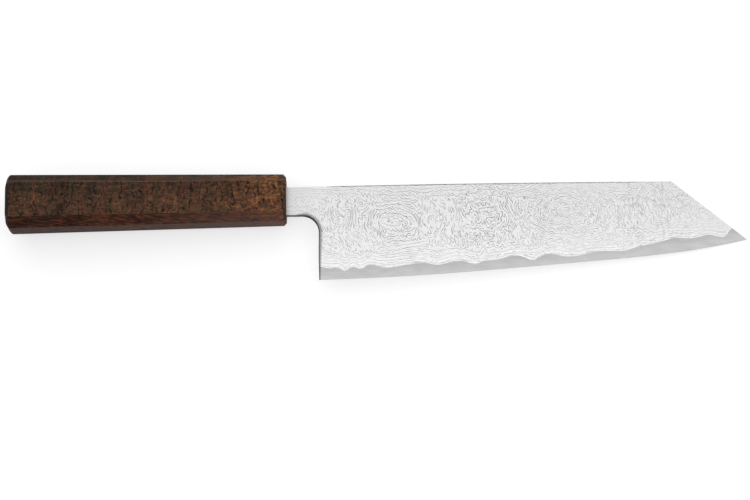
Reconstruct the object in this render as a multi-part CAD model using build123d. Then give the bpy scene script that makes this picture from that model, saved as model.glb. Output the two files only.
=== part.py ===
from build123d import *
import math
import os

# A laminated kiritsuke kitchen knife with a one-piece octagonal handle.
# It is drawn with X from the handle's front face to the tip, Y from the edge up to the spine, and Z out of
# its right-hand side. At the end it is laid on its left side, the way it lies on a table.

# Blade, seen from the side
heel_x = 15.8
blade_length = 210.0
heel_drop = 40.65
tip_drop = 23.8
spine_height = 6.2
spine_bow = 0.5
tip_cut_run = 36.0
heel_hollow = 0.15
neck_drop = 8.5
choil_radius = 8.2
edge_station_shares = (0, 0.21, 0.448, 0.686, 0.876, 1, 1.03)
edge_rise_shares = (0, 0.08, 0.262, 0.478, 0.721, 1, 1.08)
edge_search_share = 1e-6

# Blade, in section
neck_thickness = 3.1
tip_thickness = 0.9
belly_share = 0.17
spine_easing = 0.35
spine_easing_limit_share = 0.75
choil_flat = 0.2
edge_bevel_height = 0.6
edge_bevel_thickness = 0.34
edge_land = 0.1

# Layers of the blade: the core tapers, and the cladding ends at a wandering weld line above the edge
core_at_heel_edge = 0.38
core_at_heel_spine = 0.84
core_at_tip = 0.3
weld_height = 5.5
weld_station_shares = (
    -0.02, 0.002, 0.028, 0.045, 0.061, 0.079, 0.1, 0.111, 0.144, 0.168, 0.195, 0.222,
    0.256, 0.274, 0.305, 0.342, 0.366, 0.386, 0.414, 0.472, 0.503, 0.52, 0.57, 0.605,
    0.628, 0.67, 0.713, 0.733, 0.761, 0.795, 0.835, 0.875, 0.917, 0.945, 0.96, 0.99,
)
weld_height_shares = (
    1.24, 1.22, 1.01, 1.02, 0.77, 1.08, 0.86, 1.15, 0.96, 0.87, 0.99, 1.07,
    1.02, 0.83, 1, 0.92, 0.68, 0.84, 0.88, 1.01, 0.57, 0.88, 0.69, 0.6,
    0.74, 0.81, 0.68, 0.82, 0.99, 1.12, 1.32, 1.07, 1.08, 0.7, 1.1, 1.9,
)

# Tang, hidden in the handle
neck_inset = 5.0
tang_length = 88.0
tang_thickness = 2.6
tang_root_height = 8.4
tang_end_height = 5.0

# Handle
handle_length = 138.1
butt_height = 27.1
butt_width = 22.4
butt_bevel = 4.9
front_height = 23.6
front_width = 18.8
front_bevel = 4.2
front_chamfer = 1.3
butt_crown_radius = 185.0
butt_rounding = 4.4
butt_rounding_depth = 3.85
facet_easing = 0.4

# Bore, split dowel and fillings
dowel_diameter = 12.7
dowel_past_tang = 6.0
dowel_clearance = 0.05
bore_end_clearance = 1.0
drill_point_angle = 118.0
neck_clearance = 0.35
tang_clearance = 0.3
seal_depth = 2.5

# A cutting solid runs this far past what it cuts
overrun = 4.0

tip_x = heel_x + blade_length
dowel_length = tang_length + dowel_past_tang


def spine_at(x):
    """Height of the spine's slightly bowed line at x."""
    half_run = (tip_x - tip_cut_run) / 2
    return spine_height + spine_bow * (1 - ((x - half_run) / half_run) ** 2)


def thickness_at(x):
    """Thickness across the spine's line, which tapers from the neck to the tip."""
    return neck_thickness + (tip_thickness - neck_thickness) * max(x, 0) / tip_x


edge_points = [
    Vector(heel_x + blade_length * station, -heel_drop + (heel_drop - tip_drop) * rise)
    for station, rise in zip(edge_station_shares, edge_rise_shares)
]
edge_line = Spline(*edge_points)


def edge_at(x):
    """Height of the cutting edge at x, found by halving the stretch of its curve that holds x."""
    low, high = 0.0, 1.0
    while high - low > edge_search_share:
        middle = (low + high) / 2
        if (edge_line @ middle).X < x:
            low = middle
        else:
            high = middle
    return (edge_line @ low).Y


def blade_section(x, edge_y):
    """Section of the ground blade at x: eased spine, convex flanks and a cutting bevel with a fine land."""
    top = spine_at(x)
    half = thickness_at(x) / 2
    bevel_y = edge_y + edge_bevel_height
    bevel_half = edge_bevel_thickness / 2
    easing = min(spine_easing, half * spine_easing_limit_share)
    ease_y = top - easing
    ease_half = half - easing
    ease_reach = easing * math.sqrt(0.5)
    belly_y = (ease_y + bevel_y) / 2
    belly_half = (half + bevel_half) / 2 + half * belly_share

    def side_lines(side):
        ease_middle = (x, ease_y + ease_reach, side * (ease_half + ease_reach))
        flank_top, flank_foot = (x, ease_y, side * half), (x, bevel_y, side * bevel_half)
        ease = ThreePointArc((x, top, side * ease_half), ease_middle, flank_top)
        flank = ThreePointArc(flank_top, (x, belly_y, side * belly_half), flank_foot)
        return [ease, flank, Line(flank_foot, (x, edge_y, side * edge_land / 2))]

    spine = Line((x, top, -ease_half), (x, top, ease_half))
    land = Line((x, edge_y, edge_land / 2), (x, edge_y, -edge_land / 2))
    return Wire([spine, *side_lines(1), land, *side_lines(-1)])


def ground_blade():
    """The blade from inside the handle to past the tip, before its ends are cut to shape."""
    sections = [blade_section(-neck_inset, edge_points[0].Y)]
    sections += [blade_section(point.X, point.Y) for point in edge_points]
    return Solid.make_loft(sections)


def choil_lines():
    """Underside of the neck, the choil's arc, and the slightly hollow heel, as one smooth line."""
    arc_start = Vector(heel_x - choil_radius, -neck_drop)
    arc_end = Vector(heel_x, -neck_drop - choil_radius)
    heel_corner = Vector(heel_x, -heel_drop)
    heel_middle = Vector(heel_x - heel_hollow, (arc_end.Y + heel_corner.Y) / 2)
    neck = Line((-neck_inset - overrun, -neck_drop), arc_start)
    choil = CenterArc((arc_start.X, arc_end.Y), choil_radius, 90, -90)
    heel = Spline(arc_end, heel_middle, heel_corner, tangents=[(0, -1), heel_corner - heel_middle])
    return [neck, choil, heel]


def heel_cutter():
    """Everything under the neck and behind the heel."""
    lines = choil_lines()
    start, corner = lines[0] @ 0, lines[-1] @ 1
    lower = corner.Y - overrun
    rest = Polyline(corner, (corner.X, lower), (start.X, lower), start)
    return extrude(Face(Wire([*lines, *rest.edges()])), neck_thickness, both=True)


def choil_rounder(side):
    """Rounds one side of the neck's underside, the choil and the heel, where a finger rests."""
    lines = choil_lines()
    x, y = (lines[0] @ 0).X, (lines[0] @ 0).Y
    radius = (neck_thickness - choil_flat) / 2
    reach = radius * math.sqrt(0.5)
    low, high, far = side * choil_flat / 2, side * neck_thickness / 2, side * neck_thickness
    middle = (x, y + radius - reach, side * (choil_flat / 2 + reach))
    round_over = ThreePointArc((x, y, low), middle, (x, y + radius, high))
    corners = [(y + radius, high), (y + radius, far), (y - radius, far), (y - radius, low), (y, low)]
    outside = Polyline(*[(x, corner_y, corner_z) for corner_y, corner_z in corners])
    return sweep(Face(Wire([round_over, *outside.edges()])), Wire(lines))


def tip_cutter():
    """Everything above the straight cut from the spine's shoulder down to the tip."""
    tip = Vector(tip_x, -tip_drop)
    shoulder = Vector(tip_x - tip_cut_run, spine_height)
    along = (tip - shoulder).normalized()
    out = Vector(-along.Y, along.X)
    near, far = shoulder - along * overrun, tip + along * (edge_points[-1].X - tip_x + overrun)
    corners = [near, far, far + out * tip_cut_run, near + out * tip_cut_run]
    return extrude(Face(Wire.make_polygon(corners)), neck_thickness, both=True)


def tang():
    """Flat tapered tang with a rounded end, which starts inside the neck."""
    root_x = -neck_inset + overrun / 2
    end_x = -tang_length + tang_end_height / 2
    root, end = tang_root_height / 2, tang_end_height / 2
    taper = Polyline((end_x, end), (root_x, root), (root_x, -root), (end_x, -end))
    tip = ThreePointArc((end_x, -end), (-tang_length, 0), (end_x, end))
    return extrude(Face(Wire([*taper.edges(), tip])), tang_thickness / 2, both=True)


def above_weld(height_shares):
    """The side view above the weld line, where the cladding still covers the core."""
    stations = [heel_x + blade_length * share for share in weld_station_shares]
    points = [Vector(x, edge_at(x) + weld_height * share) for x, share in zip(stations, height_shares)]
    first, last = points[0], points[-1]
    back, front = -tang_length - overrun, tip_x + overrun
    top = spine_height + spine_bow + overrun
    around = Polyline(last, (front, last.Y), (front, top), (back, top), (back, first.Y), first)
    return extrude(Face(Wire([Spline(*points), *around.edges()])), neck_thickness, both=True)


def core_face(side):
    """The flat face of the core on one side, facing outwards."""
    heel_edge = Vector(heel_x, -heel_drop, side * core_at_heel_edge / 2)
    heel_spine = Vector(heel_x, spine_height, side * core_at_heel_spine / 2)
    tip = Vector(tip_x, -tip_drop, side * core_at_tip / 2)
    along, up = tip - heel_edge, heel_spine - heel_edge
    return Plane(origin=heel_edge, x_dir=along, z_dir=along.cross(up) * side)


def laminate(blade):
    """Parts the blade into its core and its two claddings."""
    right = split(blade & above_weld(weld_height_shares), bisect_by=core_face(1), keep=Keep.TOP)
    left = split(blade & above_weld(weld_height_shares[::-1]), bisect_by=core_face(-1), keep=Keep.TOP)
    return blade - right - left, right, left


def octagon(x, height, width, bevel):
    """Corners of the handle's section at x, whose bevels stand at 45 degrees."""
    y, z = height / 2, width / 2
    half = [(y - bevel, z), (y, z - bevel), (y, bevel - z), (y - bevel, -z)]
    return [Vector(x, sign * a, sign * b) for sign in (1, -1) for a, b in half]


def butt_shape(angle, reach):
    """A bar rounded at the butt, where the rounding meets one pair of facets at a low, crisp edge."""
    centre_x, centre_y = butt_rounding - handle_length, reach - butt_rounding_depth
    turn = math.asin(butt_rounding_depth / butt_rounding)
    arc = [Vector(-butt_rounding, 0).rotate(Axis.Z, -math.degrees(turn) * share) for share in (0, 0.5, 1)]
    upper = [Vector(centre_x, centre_y) + point for point in arc]
    lower = [Vector(point.X, -point.Y) for point in upper]
    rest = Polyline(upper[-1], (overrun, reach), (overrun, -reach), lower[-1])
    outline = Wire([ThreePointArc(*upper), ThreePointArc(*lower), Line(upper[0], lower[0]), *rest.edges()])
    return Rot(X=angle) * extrude(Face(outline), butt_height, both=True)


def handle_blank():
    """The tapered octagon with eased facet edges, a chamfered front and a crowned, rounded butt."""
    front = octagon(0, front_height, front_width, front_bevel)
    butt = octagon(-handle_length, butt_height, butt_width, butt_bevel)
    outlines = [[front[i - 1], front[i], butt[i], butt[i - 1]] for i in range(len(front))]
    blank = Solid(Shell([Face(Wire.make_polygon(outline)) for outline in (*outlines, front, butt)]))
    blank = blank.chamfer(front_chamfer, None, blank.edges().group_by(Axis.X)[-1])
    blank = blank.fillet(facet_easing, blank.edges().filter_by(lambda edge: edge.length > handle_length / 2))
    blank &= Pos(butt_crown_radius - handle_length, 0, 0) * Sphere(butt_crown_radius)
    slant = (butt_height / 2 + butt_width / 2 - butt_bevel) * math.sqrt(0.5)
    for angle, reach in ((0, butt_height / 2), (45, slant), (90, butt_width / 2), (135, slant)):
        blank &= butt_shape(angle, reach)
    return blank


def box_between(low, high):
    """A box from its lowest to its highest corner."""
    size = Vector(*high) - Vector(*low)
    return Pos(*low) * Box(size.X, size.Y, size.Z, align=Align.MIN)


def neck_slot(back, front):
    """The slot's wide mouth, which clears the neck all round."""
    side = neck_thickness / 2 + neck_clearance
    low_y, high_y = -neck_drop - neck_clearance, spine_height + neck_clearance
    return box_between((back, low_y, -side), (front, high_y, side))


def tang_slot():
    """The narrower slot behind the mouth, which clears the tang."""
    half, side = tang_root_height / 2 + tang_clearance, tang_thickness / 2 + tang_clearance
    return box_between((-tang_length - tang_clearance, -half, -side), (-neck_inset, half, side))


def rod(diameter, back, front):
    """A round bar along the handle's axis."""
    return Pos((back + front) / 2, 0, 0) * Rot(Y=90) * Cylinder(diameter / 2, front - back)


def bore():
    """The blind hole for the dowel, with the cone that the drill's point leaves."""
    diameter = dowel_diameter + 2 * dowel_clearance
    end = -dowel_length - bore_end_clearance
    cone_length = diameter / 2 / math.tan(math.radians(drill_point_angle / 2))
    cone = Pos(end - cone_length / 2, 0, 0) * Rot(Y=90) * Cone(0, diameter / 2, cone_length)
    return rod(diameter, end, overrun) + cone


def lying_pose(solids):
    """Tips the knife nose-down until the handle's front edge and the tip both touch the table, and puts the
    origin under the middle of the knife."""
    front_x = -front_chamfer
    front_z = -front_width / 2 - (butt_width - front_width) / 2 * front_chamfer / handle_length
    tip_z = -edge_bevel_thickness / 2
    pitch = math.degrees(math.atan2(tip_z - front_z, tip_x - front_x))
    tilt = Rot(Y=pitch)
    box = Compound([tilt * solid for solid in solids]).bounding_box()
    return Pos(-box.center().X, -box.center().Y, -box.min.Z) * tilt


blade = ground_blade() - heel_cutter() - tip_cutter() - choil_rounder(1) - choil_rounder(-1) + tang()
core_steel, cladding_right, cladding_left = laminate(blade)

mouth_back = -neck_inset - neck_clearance
handle_body = handle_blank() - bore() - neck_slot(mouth_back, overrun)
dowel = rod(dowel_diameter, -dowel_length, 0) - neck_slot(mouth_back, overrun) - tang_slot()
dowel_half_right = split(dowel, bisect_by=Plane.XY, keep=Keep.TOP)
dowel_half_left = split(dowel, bisect_by=Plane.XY, keep=Keep.BOTTOM)
neck_seal = neck_slot(-seal_depth, 0) - blade
tang_bedding = neck_slot(mouth_back, -seal_depth) + tang_slot() - blade

pieces = {
    "core_steel": core_steel,
    "cladding_right": cladding_right,
    "cladding_left": cladding_left,
    "handle_body": handle_body,
    "dowel_half_right": dowel_half_right,
    "dowel_half_left": dowel_half_left,
    "tang_bedding": tang_bedding,
    "neck_seal": neck_seal,
}
pose = lying_pose(pieces.values())
os.makedirs("parts", exist_ok=True)
for name, solid in pieces.items():
    export_step(pose * solid, f"parts/{name}.step")
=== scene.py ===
import math

import bpy
import numpy as np
from mathutils import Matrix, Vector


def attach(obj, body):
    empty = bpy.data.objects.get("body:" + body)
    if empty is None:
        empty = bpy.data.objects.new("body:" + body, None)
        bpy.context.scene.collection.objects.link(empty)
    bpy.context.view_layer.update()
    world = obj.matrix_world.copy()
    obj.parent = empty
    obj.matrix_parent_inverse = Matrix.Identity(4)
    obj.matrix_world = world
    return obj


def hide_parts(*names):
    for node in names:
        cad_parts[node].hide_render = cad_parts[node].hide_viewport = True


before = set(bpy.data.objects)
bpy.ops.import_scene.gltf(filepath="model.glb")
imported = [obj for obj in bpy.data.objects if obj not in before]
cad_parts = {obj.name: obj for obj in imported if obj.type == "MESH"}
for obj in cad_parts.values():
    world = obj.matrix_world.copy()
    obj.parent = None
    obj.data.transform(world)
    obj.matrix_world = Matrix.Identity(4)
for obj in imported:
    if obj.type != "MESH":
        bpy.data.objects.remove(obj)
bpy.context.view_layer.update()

# The photograph's view: a long lens nearly straight above the table, which leans a little towards the
# cutting edge and the tip, with the knife turned level across the frame.
camera_lens = 135
camera_distance = 1.37817
camera_target = Vector((-0.0004, -0.01275, 0.009))
camera_azimuth, camera_elevation, camera_roll = 10.947, 76.121, -12.118


def add_object(name, data):
    """A new object in the scene."""
    made = bpy.data.objects.new(name, data)
    bpy.context.scene.collection.objects.link(made)
    return made


camera = add_object("camera", bpy.data.cameras.new("camera"))
camera.data.lens = camera_lens
camera_turn = (
    Matrix.Rotation(math.radians(camera_azimuth), 4, "Z")
    @ Matrix.Rotation(math.radians(90 - camera_elevation), 4, "X")
    @ Matrix.Rotation(math.radians(camera_roll), 4, "Z")
)
stand = Matrix.Translation(camera_target)
camera.matrix_world = stand @ camera_turn @ Matrix.Translation((0, 0, camera_distance))
bpy.context.scene.camera = camera
bpy.context.scene.view_settings.view_transform = "Standard"

# Core of the blade: one sheet of hard carbon tool steel, bare along the cutting edge and along the middle of
# the spine, and drawn out into the tang. Ground on a wet stone and finished with fine paper, lengthwise.
knife_origin = (-0.0437381, 0.0135641, 0.00935626)
knife_pitch = math.radians(2.33165)
millimetre = 0.001
heel_x = 15.8
blade_length = 210.0
# The cutting edge's height along the blade: at the heel, and how it rises from there, evenly and ever faster.
heel_height = -40.65
edge_slope = 4.16
edge_sweep = 12.69
# The round cut behind the heel, and the painted shade that darkens it and the faces that look back.
choil_centre = (7.6, -16.7, 0)
choil_radius = 8.2
shade_and_dark_grey_colour = "#2b2b2d"
painted_shade_strength = 0.97
shaded_facing = (-0.77, -0.64, 0)
# Patterns, by the length, height and depth of their patches in millimetres. Real grinding marks are about
# 0.05 mm wide, too fine to show, so they are drawn 0.2 mm wide.
grinding_marks = (16.667, 0.2, 0.2)
soft_clouds = (8.3333, 2.5, 2.5)
mark_relief = 0.00002


def linear(hex_colour):
    """An sRGB hex colour as the linear colour that Blender's sockets take."""
    channels = [int(hex_colour[i : i + 2], 16) / 255 for i in (1, 3, 5)]
    return (*[c / 12.92 if c <= 0.04045 else ((c + 0.055) / 1.055) ** 2.4 for c in channels], 1)


def node(tree, kind, inputs=None, **settings):
    """Adds a node with its settings. Each named input gets a value, a socket or a node's first output."""
    made = tree.nodes.new(kind)
    for name, value in settings.items():
        setattr(made, name, value)
    for name, value in (inputs or {}).items():
        if isinstance(value, bpy.types.Node):
            value = next(output for output in value.outputs if output.enabled)
        if isinstance(value, bpy.types.NodeSocket):
            tree.links.new(value, made.inputs[name])
        else:
            made.inputs[name].default_value = value
    return made


def start_material(name):
    """A new material's empty tree, with the knife's own axes in millimetres: X to the tip, Y to the spine."""
    material = bpy.data.materials.new(name)
    material.use_nodes = True
    tree = material.node_tree
    tree.nodes.clear()
    object_axes = node(tree, "ShaderNodeTexCoord").outputs["Object"]
    knife_axes = node(
        tree,
        "ShaderNodeMapping",
        {
            "Vector": object_axes,
            "Location": knife_origin,
            "Rotation": (0, knife_pitch, 0),
            "Scale": (millimetre, millimetre, millimetre),
        },
        vector_type="TEXTURE",
    )
    return material, tree, knife_axes


def dress(name, material):
    """Gives one of the CAD's solids its material."""
    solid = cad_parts[name]
    solid.data.materials.clear()
    solid.data.materials.append(material)


def set_ramp(ramp_node, stops):
    """Gives a colour ramp its stops, each a place and a hex colour."""
    ramp = ramp_node.color_ramp
    while len(ramp.elements) < len(stops):
        ramp.elements.new(1)
    for element, (place, colour) in zip(ramp.elements, stops):
        element.position = place
        element.color = linear(colour)


def patches(tree, axes, size, detail=2, roughness=0.5):
    """Soft random patches of a real length, height and depth in millimetres, with finer ones inside them."""
    cells = node(tree, "ShaderNodeMapping", {"Vector": axes, "Scale": size}, vector_type="TEXTURE")
    finer = {"Detail": detail, "Roughness": roughness}
    return node(tree, "ShaderNodeTexNoise", {"Vector": cells, "Scale": 1, **finer})


def painted_shade_on_ends(tree, axes, colour):
    """The colour, with painted shade on the heel, the choil, the neck's underside and, more weakly, the
    spine.
    """
    beyond = node(tree, "ShaderNodeVectorMath", {0: axes, 1: choil_centre}, operation="SUBTRACT")
    beyond = node(tree, "ShaderNodeVectorMath", {0: beyond, 1: (0, 0, 0)}, operation="MAXIMUM")
    beyond = node(tree, "ShaderNodeVectorMath", {0: beyond, 1: (1, 1, 0)}, operation="MULTIPLY")
    beyond = node(tree, "ShaderNodeVectorMath", {0: beyond}, operation="LENGTH")
    beyond = node(tree, "ShaderNodeMath", {0: beyond, 1: choil_radius}, operation="SUBTRACT")
    place = node(tree, "ShaderNodeSeparateXYZ", {"Vector": axes})
    along, height = place.outputs["X"], place.outputs["Y"]
    wider_up = {"From Min": -40, "From Max": -14, "To Min": 0.9, "To Max": 2.3}
    width = node(tree, "ShaderNodeMapRange", {"Value": height, **wider_up})
    narrower_back = {"From Min": 4, "From Max": 10, "To Min": 0.3}
    narrower = node(tree, "ShaderNodeMapRange", {"Value": along, **narrower_back})
    width = node(tree, "ShaderNodeMath", {0: width, 1: narrower}, operation="MULTIPLY")
    band = node(tree, "ShaderNodeMapRange", {"Value": beyond, "From Max": width, "To Min": 1, "To Max": 0})
    band = node(tree, "ShaderNodeMath", {0: band, 1: 0.8}, operation="POWER")
    band = node(tree, "ShaderNodeMath", {0: band, 1: painted_shade_strength}, operation="MULTIPLY")
    # Painted shade by the face's direction: faces that look back go dark, and faces towards the spine a
    # little.
    normal = node(tree, "ShaderNodeNewGeometry").outputs["Normal"]
    back = node(tree, "ShaderNodeVectorMath", {0: normal, 1: shaded_facing}, operation="DOT_PRODUCT")
    back = {"Value": back, "From Min": 0.12, "From Max": 0.7}
    back = node(tree, "ShaderNodeMapRange", back, interpolation_type="SMOOTHSTEP")
    upward = node(tree, "ShaderNodeSeparateXYZ", {"Vector": normal}).outputs["Y"]
    top = {"Value": upward, "From Min": 0.2, "From Max": 0.8, "To Max": 0.35}
    top = node(tree, "ShaderNodeMapRange", top)
    for darker in (back, top):
        band = node(tree, "ShaderNodeMath", {0: band, 1: darker}, operation="MAXIMUM")
    # In a mix of colours, input 0 is the second colour's share, and inputs 6 and 7 are the two colours.
    return node(tree, "ShaderNodeMix", {0: band, 6: colour, 7: linear(shade_and_dark_grey_colour)}, data_type="RGBA")


# Fine-ground steel: a satin grey with faint streaks along the blade, which greys a little behind the edge.
core_material, tree, axes = start_material("fine-ground carbon tool steel")
streaks = patches(tree, axes, grinding_marks, 3)
clouds = patches(tree, axes, soft_clouds, 3)
shade = node(tree, "ShaderNodeMath", {0: streaks, 1: 0.35, 2: clouds}, operation="MULTIPLY_ADD")
colour = node(tree, "ShaderNodeValToRGB", {"Fac": shade})
set_ramp(colour, [(0.4, "#c0c0c0"), (0.95, "#d0d0d0")])
place = node(tree, "ShaderNodeSeparateXYZ", {"Vector": axes})
blade_ends = {"From Min": heel_x, "From Max": heel_x + blade_length}
share = node(tree, "ShaderNodeMapRange", {"Value": place.outputs["X"], **blade_ends}, clamp=False)
edge_line = node(tree, "ShaderNodeMath", {0: share, 1: edge_sweep, 2: edge_slope}, operation="MULTIPLY_ADD")
edge_line = node(tree, "ShaderNodeMath", {0: edge_line, 1: share, 2: heel_height}, operation="MULTIPLY_ADD")
above_edge = node(tree, "ShaderNodeMath", {0: place.outputs["Y"], 1: edge_line}, operation="SUBTRACT")
rim = node(tree, "ShaderNodeMapRange", {"Value": above_edge, "From Min": 0.5, "From Max": 5, "To Max": 0.12})
colour = node(tree, "ShaderNodeMix", {0: rim, 6: colour, 7: linear(shade_and_dark_grey_colour)}, data_type="RGBA")
# Painted shade on the heel, the choil, the neck's underside and the spine.
colour = painted_shade_on_ends(tree, axes, colour)
satin = {"From Min": 0.3, "From Max": 0.7, "To Min": 0.26, "To Max": 0.36}
satin = node(tree, "ShaderNodeMapRange", {"Value": streaks, **satin})
relief = node(tree, "ShaderNodeBump", {"Strength": 0.15, "Distance": mark_relief, "Height": streaks})
steel = {"Base Color": colour, "Metallic": 1, "Roughness": satin, "Normal": relief}
steel = node(tree, "ShaderNodeBsdfPrincipled", steel)
node(tree, "ShaderNodeOutputMaterial", {"Surface": steel})
dress("core_steel", core_material)

# Claddings: softer steel and nickel steel, folded and hammered into many thin layers, forge-welded to both
# sides of the core. Grinding cuts through the layers and etching darkens every second one, so they show as
# contour lines: rings where the stack was pressed in, teeth between them, and long lines beside the weld.
weld_station_shares = (
    -0.02, 0.002, 0.028, 0.045, 0.061, 0.079, 0.1, 0.111, 0.144, 0.168, 0.195, 0.222,
    0.256, 0.274, 0.305, 0.342, 0.366, 0.386, 0.414, 0.472, 0.503, 0.52, 0.57, 0.605,
    0.628, 0.67, 0.713, 0.733, 0.761, 0.795, 0.835, 0.875, 0.917, 0.945, 0.96, 0.99,
)
weld_height_shares = (
    1.24, 1.22, 1.01, 1.02, 0.77, 1.08, 0.86, 1.15, 0.96, 0.87, 0.99, 1.07,
    1.02, 0.83, 1, 0.92, 0.68, 0.84, 0.88, 1.01, 0.57, 0.88, 0.69, 0.6,
    0.74, 0.81, 0.68, 0.82, 0.99, 1.12, 1.32, 1.07, 1.08, 0.7, 1.1, 1.9,
)
weld_height = 5.5
# The line along the cutting edge from which the weld line's heights are counted, and how far down its curve
# reaches from the axis.
edge_points = ((15.8, -40.65), (59.9, -39.3), (109.9, -36.24), (159.9, -32.6), (199.8, -28.5), (225.8, -23.8))
curve_depth = 45
spine_height, spine_bow, spine_half_run = 6.2, 0.5, 94.9
# How far apart the contour lines are, in millimetres, over the flank and beside the weld. The layers are
# about 0.04 mm thick, and the flank cuts them at a slant of only 2 degrees, so each is about 1 mm wide.
line_spacing = 1.06
weld_line_spacing = 1.5
line_darkness = 0.57
slope_step = 0.15
# Each place where the stack was pressed in: its centre, how much longer than high its rings are, their slant
# in degrees, and how many millimetres its rings give way to the next ones.
pressings = (
    (10.5, 1, 1.3, 0, 12),
    (18.5, -28, 1.1, 10, 11),
    (52.5, -12, 1.9, 0, 0),
    (97, -10, 1.5, 0, 3),
    (137, -8.4, 1.6, -3, -2),
    (182, -8, 0.5, 8, 0),
    (207, -13, 1.6, -38, 6),
)
ring_reach = 14
tooth_depth = 1.15
tooth_spacing = 2.4
ragged_depth = 4
# The patterns that bend the layers and weaken their lines, by the length, height and depth of their patches
# in millimetres.
wide_drift = (20, 16.667, 10)
small_drift = (3.3333, 3.3333, 10)
tooth_drift = (8.3333, 10, 10)
tooth_patches = (5, 6.6667, 10)
layer_waves = (11.111, 4, 10)
layer_ripples = (2.2222, 2.8571, 10)
weld_waves = (7.1429, 2.5, 10)
etch_patches = (2.2222, 2.2222, 2.2222)
stains = (2, 4.5455, 10)
# From the neck to the tip: how strongly the lines show, over the flank and beside the weld, how they thin
# out where the layers crowd, how far the teeth between the rings reach, how ragged the lines are, and how
# much the neck, the eased upper edge and the stains darken the flank.
line_strengths = (
    (0, 0.22), (0.06, 0.4), (0.12, 0.78), (0.2, 0.8), (0.25, 0.9), (0.32, 0.75),
    (0.42, 1), (0.52, 0.85), (0.62, 0.66), (0.8, 0.62), (0.9, 0.45), (1, 0.35),
)
weld_line_strengths = ((0, 0.6), (0.1, 0.65), (0.35, 0.8), (0.55, 1), (0.85, 0.8), (1, 0.8))
crowding_shares = ((0, 1), (0.5, 1), (0.57, 0.8), (0.68, 0.82), (0.76, 0.94), (1, 0.9))
tooth_shares = (
    (0, 0), (0.07, 0.3), (0.13, 0.9), (0.19, 1), (0.225, 0.35), (0.26, 0.3), (0.3, 0.8),
    (0.35, 0.8), (0.43, 0.5), (0.49, 1), (0.54, 0.5), (0.57, 0.1), (0.61, 0.1), (0.66, 0.35),
    (0.7, 0.7), (0.76, 0.4), (0.82, 0.55), (0.88, 0.4), (1, 0.2),
)
ragged_shares = (
    (0, 0.1), (0.1, 0.15), (0.18, 0.15), (0.22, 0.45), (0.28, 0.2), (0.36, 0.3),
    (0.43, 1.1), (0.5, 0.5), (0.56, 0.55), (0.6, 0.95), (0.64, 0.7), (0.7, 0.5),
    (0.77, 0.6), (0.81, 0.95), (0.86, 0.5), (0.92, 0.65), (1, 0.4),
)
neck_shares = ((0, 1), (0.018, 1), (0.1, 0.12), (0.26, 0.12), (0.36, 0), (1, 0))
neck_darkness = 0.1
eased_edge_shares = ((0, 0), (0.08, 0), (0.11, 0.6), (0.6, 0.6), (0.75, 0.4), (0.82, 0.1), (1, 0))
stain_shares = ((0, 0), (0.65, 0.3), (0.72, 0.6), (0.8, 1), (0.87, 0.7), (0.92, 0), (1, 0))


def set_curve(curve_node, points):
    """Draws a float curve through its points."""
    curve = curve_node.mapping.curves[0]
    while len(curve.points) < len(points):
        curve.points.new(0.5, 0.5)
    for point, place in zip(curve.points, points):
        point.location = place
    curve_node.mapping.update()


def wander(tree, axes, size, detail=2):
    """Soft random directions, from minus a half to a half, in patches of a real size in millimetres."""
    spread = patches(tree, axes, size, detail).outputs["Color"]
    return node(tree, "ShaderNodeVectorMath", {0: spread, 1: (0.5, 0.5, 0.5)}, operation="SUBTRACT")


def share_of_blade(tree, along):
    """How far a place is from the neck towards the tip, from 0 to 1."""
    return node(tree, "ShaderNodeMapRange", {"Value": along, "From Max": heel_x + blade_length})


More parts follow.
